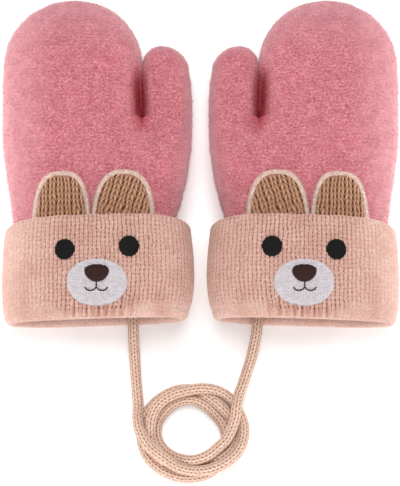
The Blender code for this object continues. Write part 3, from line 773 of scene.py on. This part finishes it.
def cuff_surface():
    """One cuff's points, faces and relief.

    Its profile goes over the edge, down the outer skin, round the fold, up the inside to the seam, down the
    hidden face of the inner layer and up the hidden face of the outer one. The knit stands out along the
    normals of this smooth form.
    """
    angles, wales = cuff_columns()
    lip = CUFF_WALL / 2
    lip_turn = np.radians((112, 90, 68, 45, 22))
    edge_y = CUFF_EDGE_Y - lip
    edge = cuff_rings(CUFF, edge_y + lip * np.sin(lip_turn), angles, lip - lip * np.cos(lip_turn))
    outer_count = math.ceil((edge_y - FOLD_DEPTH) / CUFF_STITCH * CUFF_RINGS_A_STITCH)
    outer = cuff_rings(CUFF, np.linspace(edge_y, FOLD_DEPTH, outer_count), angles)
    turn = np.radians(np.arange(FOLD_STEP, 180, FOLD_STEP))[:, None, None]
    last = cuff_rings(PALM, np.array([FOLD_DEPTH]), angles, CUFF_WALL)
    fold = outer[-1:] + (last - outer[-1:]) * (1 - np.cos(turn)) / 2
    fold[..., 1] = outer[-1, :, 1] - FOLD_DEPTH * np.sin(turn[..., 0])
    up = np.linspace(FOLD_DEPTH, SEAM_Y, INSIDE_RINGS)
    down = np.linspace(SEAM_Y, SLOT_FLOOR_Y, SLOT_RINGS)
    inside = cuff_rings(PALM, up, angles, CUFF_WALL, 1 - up / SEAM_Y)
    under = cuff_rings(PALM, down, angles, 0.0, 1 - down / SEAM_Y)
    hidden = cuff_rings(CUFF, np.linspace(SLOT_FLOOR_Y, edge_y, SLOT_RINGS), angles, CUFF_WALL)
    rings = np.concatenate([edge, outer, fold, inside, under, hidden])
    index = np.arange(rings.size // 3).reshape(rings.shape[:2])
    faces = tube_faces(np.vstack([index, index[:1]]))
    points = rings.reshape(-1, 3)
    normals = normals_of(points, [faces])
    shown = len(edge) + len(outer) + FOLD_SHOWN
    level = rings[..., 1] - cuff_shift(rings, rings[..., 1])
    from_middle = np.abs(rings[..., 0])
    smooth_to = SMOOTH_TO_Y + SMOOTH_RISE * slope(from_middle, RISE_FROM_X, RISE_OVER)
    share = np.clip((level - smooth_to) / KNIT_GROWS_OVER, ROLL_SHARE, 1)
    share[shown:] = ROLL_SHARE
    # the faded knit takes the paler roll colour: more on the outer side, a painted highlight, and less on the
    # inner, which keeps its painted groove shade
    fade = np.where(rings[..., 0] < 0, OUTER_FADE, INNER_FADE)
    share *= 1 - fade * slope(from_middle, FADE_FROM_X, FADE_OVER)
    uneven = soft_noise(points, size=7.0, seed=6).reshape(share.shape)
    fuzz = soft_noise(points, size=1.5, seed=8).reshape(share.shape)
    swell = soft_noise(points, size=11.0, seed=5)
    stitch = along(rings[:, rings.shape[1] // 4])[:, None] / CUFF_STITCH + STITCHES_STRAY * uneven
    stitch[shown:] = 0
    wale = wales + WALES_STRAY * uneven
    knit = plain_knit(wale, stitch, slant=1.6, groove=0.45, edge=0.75, gap=0.3, hole=(0.36, 0.34))
    relief = (ROLL_RELIEF + share * (knit + CUFF_FUZZ * fuzz - ROLL_RELIEF)).ravel()
    rise = CUFF_RELIEF * (relief - ROLL_RELIEF) + CUFF_SWELL * swell * share.ravel()
    sunk = np.zeros(len(points))
    for x, half_width, depth, length in PUCKERS:
        sunk += depth * np.exp(-(((points[:, 0] - x) / half_width) ** 2) - (points[:, 1] / length) ** 2)
    sunk *= (normals[:, 2] > 0) & (index.ravel() < index[shown, 0])
    points = points + normals * (rise - sunk)[:, None]
    points[:, 2] = np.maximum(points[:, 2], 0)
    # the puckers lower the relief too: painted shade in their folds
    return points, [faces], relief - PUCKER_SHADE * sunk


def cuff_finish():
    """Peach yarn: brown-pink painted shade in the grooves, paler and flecked with near-white fibres on the
    stitches.
    """
    made, tree, place = cloth_finish("peach_plain_knit", 0.9, 0.45, (255, 234, 224))
    # by the relief: painted shade in the grooves and puckers, the yarn's own colour on the stitches
    tones = (0.0, (106, 62, 50)), (0.3, (174, 126, 111)), (0.64, (206, 166, 152)), (0.95, (223, 195, 186))
    yarn_and_painted_shade = ramp(tree, relief_of(tree), *tones)
    flecks = ramp(tree, noise(tree, place, 0.8, 5, 0.75), (0.34, (212, 197, 191)), (0.62, (255, 253, 252)))
    patchy = ramp(tree, noise(tree, place, 9.0, 2), (0.3, (242, 232, 228)), (0.7, (255, 255, 255)))
    colour = blended(tree, blended(tree, yarn_and_painted_shade, flecks, 0.9), patchy)
    return wired(made, {"Base Color": colour, "Normal": bump(tree, noise(tree, place, 0.22, 4), 0.12, 0.7)})


cuff_points, cuff_faces, cuff_relief = cuff_surface()
cuffs = add_pair("turned_up_cuff", cuff_points, cuff_faces, cuff_finish(), cuff_relief, "cuff_knit", "cuff")

# --------------------------------------------------
# Each ear is two layers sewn together and caught in under the turned-up edge: a backing of short cream plush,
# which shows as a soft rim, and in front of it a tongue of thick brown plain knitting.
EARS = (
    # name; centre at the root, half width, lean, roundness, top, taper; its wales' lean in degrees, narrowing
    ("outer", -14.1, 12.0, 0.0, 3.1, 58.3, 0.12, -2.0, 0.006),
    ("inner", 10.4, 12.9, 0.02, 2.6, 58.9, 0.04, 17.0, 0.0),
)
EAR_ROOT_Y = 37.0
EAR_WALL = 1.5
EAR_BORDER = 2.1
EAR_LAST_TURN = math.radians(88)
EAR_GRIDS = {"back": (34, 41), "front": (66, 71)}  # rows and columns
EAR_WALE, EAR_STITCH = 3.3, 2.3
EAR_RELIEF, EAR_LEVEL = 1.1, 0.7  # the knit's height, and the share of it at the smooth layer
EAR_WALES_STRAY, EAR_STITCHES_STRAY = 0.05, 0.1  # the knit's unevenness
FLAT_BORDER = 0.08  # the knit flattens this far in from the outline
RIM_SWELL, RIM_AT, RIM_WIDTH = 0.9, 0.09, 0.06  # the plush rim swells this far in from the outline
RIM_FROM = 0.7  # only from here out has the plush its fibres; the front covers the rest
PLUSH = {"count": 1700, "lengths": (0.5, 1.1), "width": 0.09, "leans": (10, 70), "seed": 7}


def arch(share, roundness):
    """The height of a superellipse, as a share, at a share of its half width."""
    return (1 - share**roundness) ** (1 / roundness)


def top_of(rows, x, y, roundness):
    """The height at (x, y) of the upper side of soft round sections, with their sides given along y."""
    left, right, low, high = np.moveaxis(read_table(rows, np.ravel(y)).reshape(*np.shape(y), 4), -1, 0)
    share = np.clip(np.abs(x - (left + right) / 2) / ((right - left) / 2), 0, 1)
    return (low - FLATTENED + high) / 2 + (high - low + FLATTENED) / 2 * arch(share, roundness)


def grid_quads(grid):
    """Quads over a grid of point numbers. They face up where its columns run along x and its rows along y."""
    return np.stack([grid[:-1, :-1], grid[:-1, 1:], grid[1:, 1:], grid[1:, :-1]], axis=-1).reshape(-1, 4)


def shell(top, below):
    """The points and faces of a closed shell: two grids of points that share the border of the top one."""
    upper = np.arange(top.shape[0] * top.shape[1]).reshape(top.shape[:2])
    lower = upper.copy()
    lower[1:-1, 1:-1] = upper.size + np.arange(lower[1:-1, 1:-1].size).reshape(lower[1:-1, 1:-1].shape)
    points = np.concatenate([top.reshape(-1, 3), below[1:-1, 1:-1].reshape(-1, 3)])
    return points, [grid_quads(upper), grid_quads(lower)[:, ::-1]]


def tongue(centre, half_width, lean, roundness, top, taper, border, grid):
    """The x, y and reach of a grid over a tongue: a superellipse's half on a root line.

    The reach is 0 at the middle of the root and 1 on the outline.
    """
    rows, columns = grid
    up = np.sin(np.linspace(0, EAR_LAST_TURN, rows))[:, None]
    across = np.linspace(-1, 1, columns)[None] * arch(up, roundness)
    y = EAR_ROOT_Y + up * (top - border - EAR_ROOT_Y) + 0 * across
    x = centre + lean * (y - EAR_ROOT_Y) + (half_width - border) * (1 - taper * up) * across
    return x, y, (np.abs(across) ** roundness + up**roundness) ** (1 / roundness)


def ear_layer(x, y, reach, raised, rise):
    """A closed layer of the ear over the back of the hand, full in the middle and thin at its outline."""
    half = EAR_WALL / 2 * np.sqrt(np.clip(1 - reach**8, 0, 1))
    middle = top_of(PALM, x, y, ROUND) + raised + EAR_WALL / 2
    top, below = (np.stack([x, y, z], axis=-1) for z in (middle + half + rise, middle - half))
    return shell(top, below)


def ear_back(shape):
    """The plush backing with its swollen rim, and its fibres."""
    x, y, reach = tongue(*shape, 0.0, EAR_GRIDS["back"])
    swell = RIM_SWELL * np.exp(-(((1 - reach - RIM_AT) / RIM_WIDTH) ** 2))
    points, faces = ear_layer(x, y, reach, SEAM_GAP, swell)
    at_rim = np.append(reach.ravel(), np.ones(len(points) - reach.size)) > RIM_FROM
    rim_faces = [faces[0][at_rim[faces[0]].all(axis=1)]]
    return points, faces, fibres(points, rim_faces, **PLUSH)[:2]


def ear_front(shape, leans, narrowing):
    """The front: thick plain knitting whose wales lean, and draw together upwards by the narrowing."""
    x, y, reach = tongue(*shape, EAR_BORDER, EAR_GRIDS["front"])
    turn = math.radians(leans)
    dx, dy = x - shape[0], y - EAR_ROOT_Y
    uneven = soft_noise(np.stack([x, y, 0 * x], axis=-1).reshape(-1, 3), size=6.0, seed=9).reshape(x.shape)
    wale = (dx * math.cos(turn) - dy * math.sin(turn)) * (1 + narrowing * dy) / EAR_WALE
    wale += EAR_WALES_STRAY * uneven
    stitch = (dx * math.sin(turn) + dy * math.cos(turn)) / EAR_STITCH + EAR_STITCHES_STRAY * uneven
    relief = plain_knit(wale, stitch, slant=1.3, groove=0.7, edge=0.9, gap=0.6, hole=(0.22, 0.24))
    rise = EAR_RELIEF * (relief - EAR_LEVEL) * slope(1 - reach, 0, FLAT_BORDER) ** 0.5
    points, faces = ear_layer(x, y, reach, EAR_WALL + 2 * SEAM_GAP, rise)
    return points, faces, np.append(relief.ravel(), np.full(len(points) - relief.size, 0.5))


def plush_finish():
    """Cream plush, a little darker in patches between its tufts."""
    made, tree, place = cloth_finish("cream_plush", 0.95, 0.5, (255, 240, 230))
    pile = ramp(tree, noise(tree, place, 0.5, 4), (0.3, (205, 170, 156)), (0.65, (241, 213, 200)))
    return wired(made, {"Base Color": pile, "Normal": bump(tree, noise(tree, place, 0.3, 3), 0.25, 0.8)})


def brown_finish():
    """Thick oatmeal-brown yarn: painted shade, nearly black, between the stitches; streaked with paler fibres
    on them.
    """
    made, tree, place = cloth_finish("brown_chunky_knit", 0.85, 0.3, (255, 230, 205))
    # by the relief: painted shade between the stitches, the yarn's own colour on them
    yarn_and_painted_shade = ramp(tree, relief_of(tree), (0.0, (50, 26, 13)), (0.42, (134, 91, 66)), (0.92, (216, 175, 147)))
    streaks = ramp(tree, noise(tree, place, 0.4, 5, 0.7), (0.3, (196, 172, 156)), (0.66, (255, 252, 248)))
    fuzz = bump(tree, noise(tree, place, 0.2, 4), 0.15, 0.8)
    return wired(made, {"Base Color": blended(tree, yarn_and_painted_shade, streaks), "Normal": fuzz})


plush, brown_knit = plush_finish(), brown_finish()
for ear_name, *shape, leans, narrowing in EARS:
    back_points, back_faces, (pile_points, pile_faces) = ear_back(shape)
    front_points, front_faces, front_relief = ear_front(shape, leans, narrowing)
    name = ear_name + "_ear"
    backs = add_pair(name + "_plush", back_points, back_faces, plush, None, "ear_plush", name + "_back")
    piles = add_pair(name + "_pile", pile_points, pile_faces, plush, None, "ear_plush")
    front = (front_points, front_faces, brown_knit, front_relief)
    fronts = add_pair(name + "_knit", *front, "ear_knit", name + "_front")
    for hand, back, pile, front in zip(hands, backs, piles, fronts):
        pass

# --------------------------------------------------
# The bear's face is sewn on the turned-up cuff by an embroidery machine in glossy polyester thread: round
# eyes and a nose in satin stitch, a muzzle filled in rows, and a mouth in a thin line of stitches.
THREAD = 0.38  # the spacing of the threads
ROWS_A_THREAD = 4
THREAD_RIDGE = 0.17
RAGGED = 0.16  # how far a thread's ends fall out of line
PATCH_FOOT = -0.2  # the patches are let into the knit by this much
PATCHES = (
    # name, colour, centre, half widths, squareness, thickness, columns, taper, length of a stitch
    ("muzzle", "pale", (0.6, 12.5), (11.9, 9.3), 2.1, 0.42, 96, 0.0, 1.15),
    ("left_eye", "black", (-12.2, 25.7), (4.0, 4.1), 2.0, 0.75, 20, 0.0, 60.0),
    ("right_eye", "black", (13.0, 27.0), (4.1, 4.2), 2.0, 0.75, 20, 0.0, 60.0),
    ("nose", "brown", (0.5, 16.0), (4.9, 3.5), 2.2, 1.1, 24, 0.24, 60.0),
)
MOUTH = (  # three lines of stitches, each a list of points (x, y)
    ((0.45, 13.0), (0.42, 11.6), (0.4, 10.4)),
    ((0.4, 10.4), (-0.5, 9.5), (-1.9, 9.1), (-3.3, 9.5), (-4.1, 10.5)),
    ((0.4, 10.4), (1.3, 9.5), (2.7, 9.1), (4.1, 9.5), (4.9, 10.5)),
)
LINE_WIDTH = 0.6
LINE_STEP, LINE_STITCH = 0.12, 1.3
LINE_RAISED = 0.5


def cuff_top(x, y):
    """The height of the smooth outer skin of the cuff's upper side at (x, y), neared in three steps."""
    level = np.asarray(y, float)
    for _ in range(3):
        z = top_of(CUFF, x, level, CUFF_ROUND)
        level = y - cuff_shift(np.stack(np.broadcast_arrays(x, y, z), axis=-1), level)
    return z


def patch_surface(centre, half_widths, squareness, thickness, columns, taper, stitch_length, seed):
    """An embroidered patch: a closed shell whose threads run across it, a ridge each, with ragged ends.

    Its half width at a height follows a superellipse, and narrows downwards by the taper. Along each thread
    the ridge dips where one stitch ends and the next begins. The relief is a tone drawn for each stitch,
    times a painted shade that darkens it between the ridges and in the dips.
    """
    draw = np.random.default_rng(seed)
    count = round(2 * half_widths[1] / THREAD)
    thread = np.repeat(np.arange(count), ROWS_A_THREAD)
    phase = (np.tile(np.arange(ROWS_A_THREAD), count) + 0.5) / ROWS_A_THREAD
    level = (thread + 0.5) / count * 2 - 1
    half = half_widths[0] * arch(np.abs(level), squareness) * (1 + taper * level)
    ends = draw.uniform(-RAGGED, RAGGED, (count, 2))[thread]
    left, right = ends[:, 0] - half, ends[:, 1] + half
    share = np.linspace(0, 1, columns)
    x = centre[0] + left[:, None] + (right - left)[:, None] * share
    y = centre[1] + ((thread + phase) / count * 2 - 1)[:, None] * half_widths[1] + 0 * x
    reach = np.maximum(np.abs(share * 2 - 1)[None] * 0.999, np.abs(level)[:, None])
    body = thickness * (1 - reach**10) ** 0.5
    stitch = x / stitch_length + draw.uniform(0, 1, count)[thread][:, None]
    dips = 0.5 + 0.5 * np.cos(2 * np.pi * stitch)
    ridge = np.sin(np.pi * phase)[:, None] * (1 - 0.55 * dips**6)
    z = cuff_top(x, y) + PATCH_FOOT + body + THREAD_RIDGE * ridge * (reach < 0.99)
    shade = draw.uniform(0.72, 1.0, (count, 64))[thread[:, None], np.floor(stitch).astype(int)]
    # a random tone for each stitch, with painted shade between the ridges and in the dips
    relief = shade * (0.35 + 0.65 * ridge)
    upper = np.arange(x.size).reshape(x.shape)
    rim = np.concatenate([upper[0], upper[1:, -1], upper[-1, -2::-1], upper[-2:0:-1, 0]])
    foot = (*centre, cuff_top(*centre) + PATCH_FOOT)
    points = np.vstack([np.stack([x, y, z], axis=-1).reshape(-1, 3), foot])
    return points, [grid_quads(upper), fan(rim, x.size)[:, ::-1]], np.append(relief.ravel(), 0.5)


def line_surface(line):
    """A line of thread: a round tube, pinched where each short stitch goes down into the cloth."""
    path = respaced(np.column_stack([np.array(line, float), np.zeros(len(line))]), LINE_STEP)
    path[:, 2] = cuff_top(path[:, 0], path[:, 1]) + LINE_RAISED
    pinch = 0.72 + 0.28 * np.abs(np.sin(np.pi * along(path) / LINE_STITCH))
    radius = LINE_WIDTH / 2 * pinch * domed(path, LINE_WIDTH / 2, 0.95)
    return tube_along(path, radius[:, None], ring_angles(10))


def thread_finish(name, low, high):
    """Glossy thread, with painted shade between its ridges."""
    made, tree, place = cloth_finish(name, 0.5, 0.0, (255, 255, 255), specular=0.12)
    strand = ramp(tree, relief_of(tree), (0.3, low), (0.95, high))
    return wired(made, {"Base Color": strand, "Normal": bump(tree, noise(tree, place, 0.12, 3), 0.05, 0.6)})


threads = {
    "pale": thread_finish("pale_thread", (148, 140, 145), (230, 223, 227)),
    "black": thread_finish("black_thread", (2, 2, 2), (22, 20, 21)),
    "brown": thread_finish("dark_brown_thread", (22, 11, 9), (66, 38, 32)),
}
for seed, (patch_name, colour, *form) in enumerate(PATCHES, 11):
    patch_points, patch_faces, patch_relief = patch_surface(*form, seed)
    name = "embroidered_" + patch_name
    add_pair(name, patch_points, patch_faces, threads[colour], patch_relief, "cuff_knit")
lines = [line_surface(line) for line in MOUTH]
starts = np.cumsum([0, *(len(points) for points, _ in lines)])
mouth_points = np.concatenate([points for points, _ in lines])
mouth_faces = [part + start for (_, faces), start in zip(lines, starts) for part in faces]
mouth_relief = np.full(len(mouth_points), 0.7)
add_pair("embroidered_mouth", mouth_points, mouth_faces, threads["brown"], mouth_relief, "cuff_knit")

# --------------------------------------------------
# The floor is a plain pale sheet of card, lit by a bright even room, a broad lamp above, a small one low at
# each side and a softer one low in front.
FLOOR_HALF = 2500
FLOOR_Z = -0.05
LAMPS = (  # name, place, size, watts
    ("lamp_above", (0, 240, 870), 700, 5.4),
    ("lamp_left", (-270, -10, 36), 64, 0.28),
    ("lamp_right", (270, -10, 36), 64, 0.28),
    ("lamp_front", (0, -560, 130), 260, 1.8),
)
card = bpy.data.materials.new("pale_card")
card.use_nodes = True
card_shader = card.node_tree.nodes["Principled BSDF"]
card_shader.inputs["Base Color"].default_value = screen(245, 245, 245)
card_shader.inputs["Roughness"].default_value = 0.9
card_shader.inputs["Emission Color"].default_value = (1, 1, 1, 1)
card_shader.inputs["Emission Strength"].default_value = 0.2
floor_corners = [(x * FLOOR_HALF, y * FLOOR_HALF, FLOOR_Z) for x, y in ((-1, -1), (1, -1), (1, 1), (-1, 1))]
floor = add_mesh("floor", np.array(floor_corners), [[(0, 1, 2, 3)]], card)

world = bpy.data.worlds.new("room")
world.use_nodes = True
world.node_tree.nodes["Background"].inputs["Color"].default_value = (1, 1, 1, 1)
world.node_tree.nodes["Background"].inputs["Strength"].default_value = 0.57
bpy.context.scene.world = world
bpy.context.scene.view_settings.view_transform = "Standard"

for lamp_name, place, size, watts in LAMPS:
    light = bpy.data.lights.new(lamp_name, "AREA")
    light.shape, light.size, light.energy = "DISK", size * MM, watts
    lamp = bpy.data.objects.new(lamp_name, light)
    x, y, z = np.array(place) * MM
    lamp.location = (x, y, z)
    lamp.rotation_euler = (0, math.atan2(math.hypot(x, y), z), math.atan2(y, x))  # it shines at the origin
    bpy.context.scene.collection.objects.link(lamp)
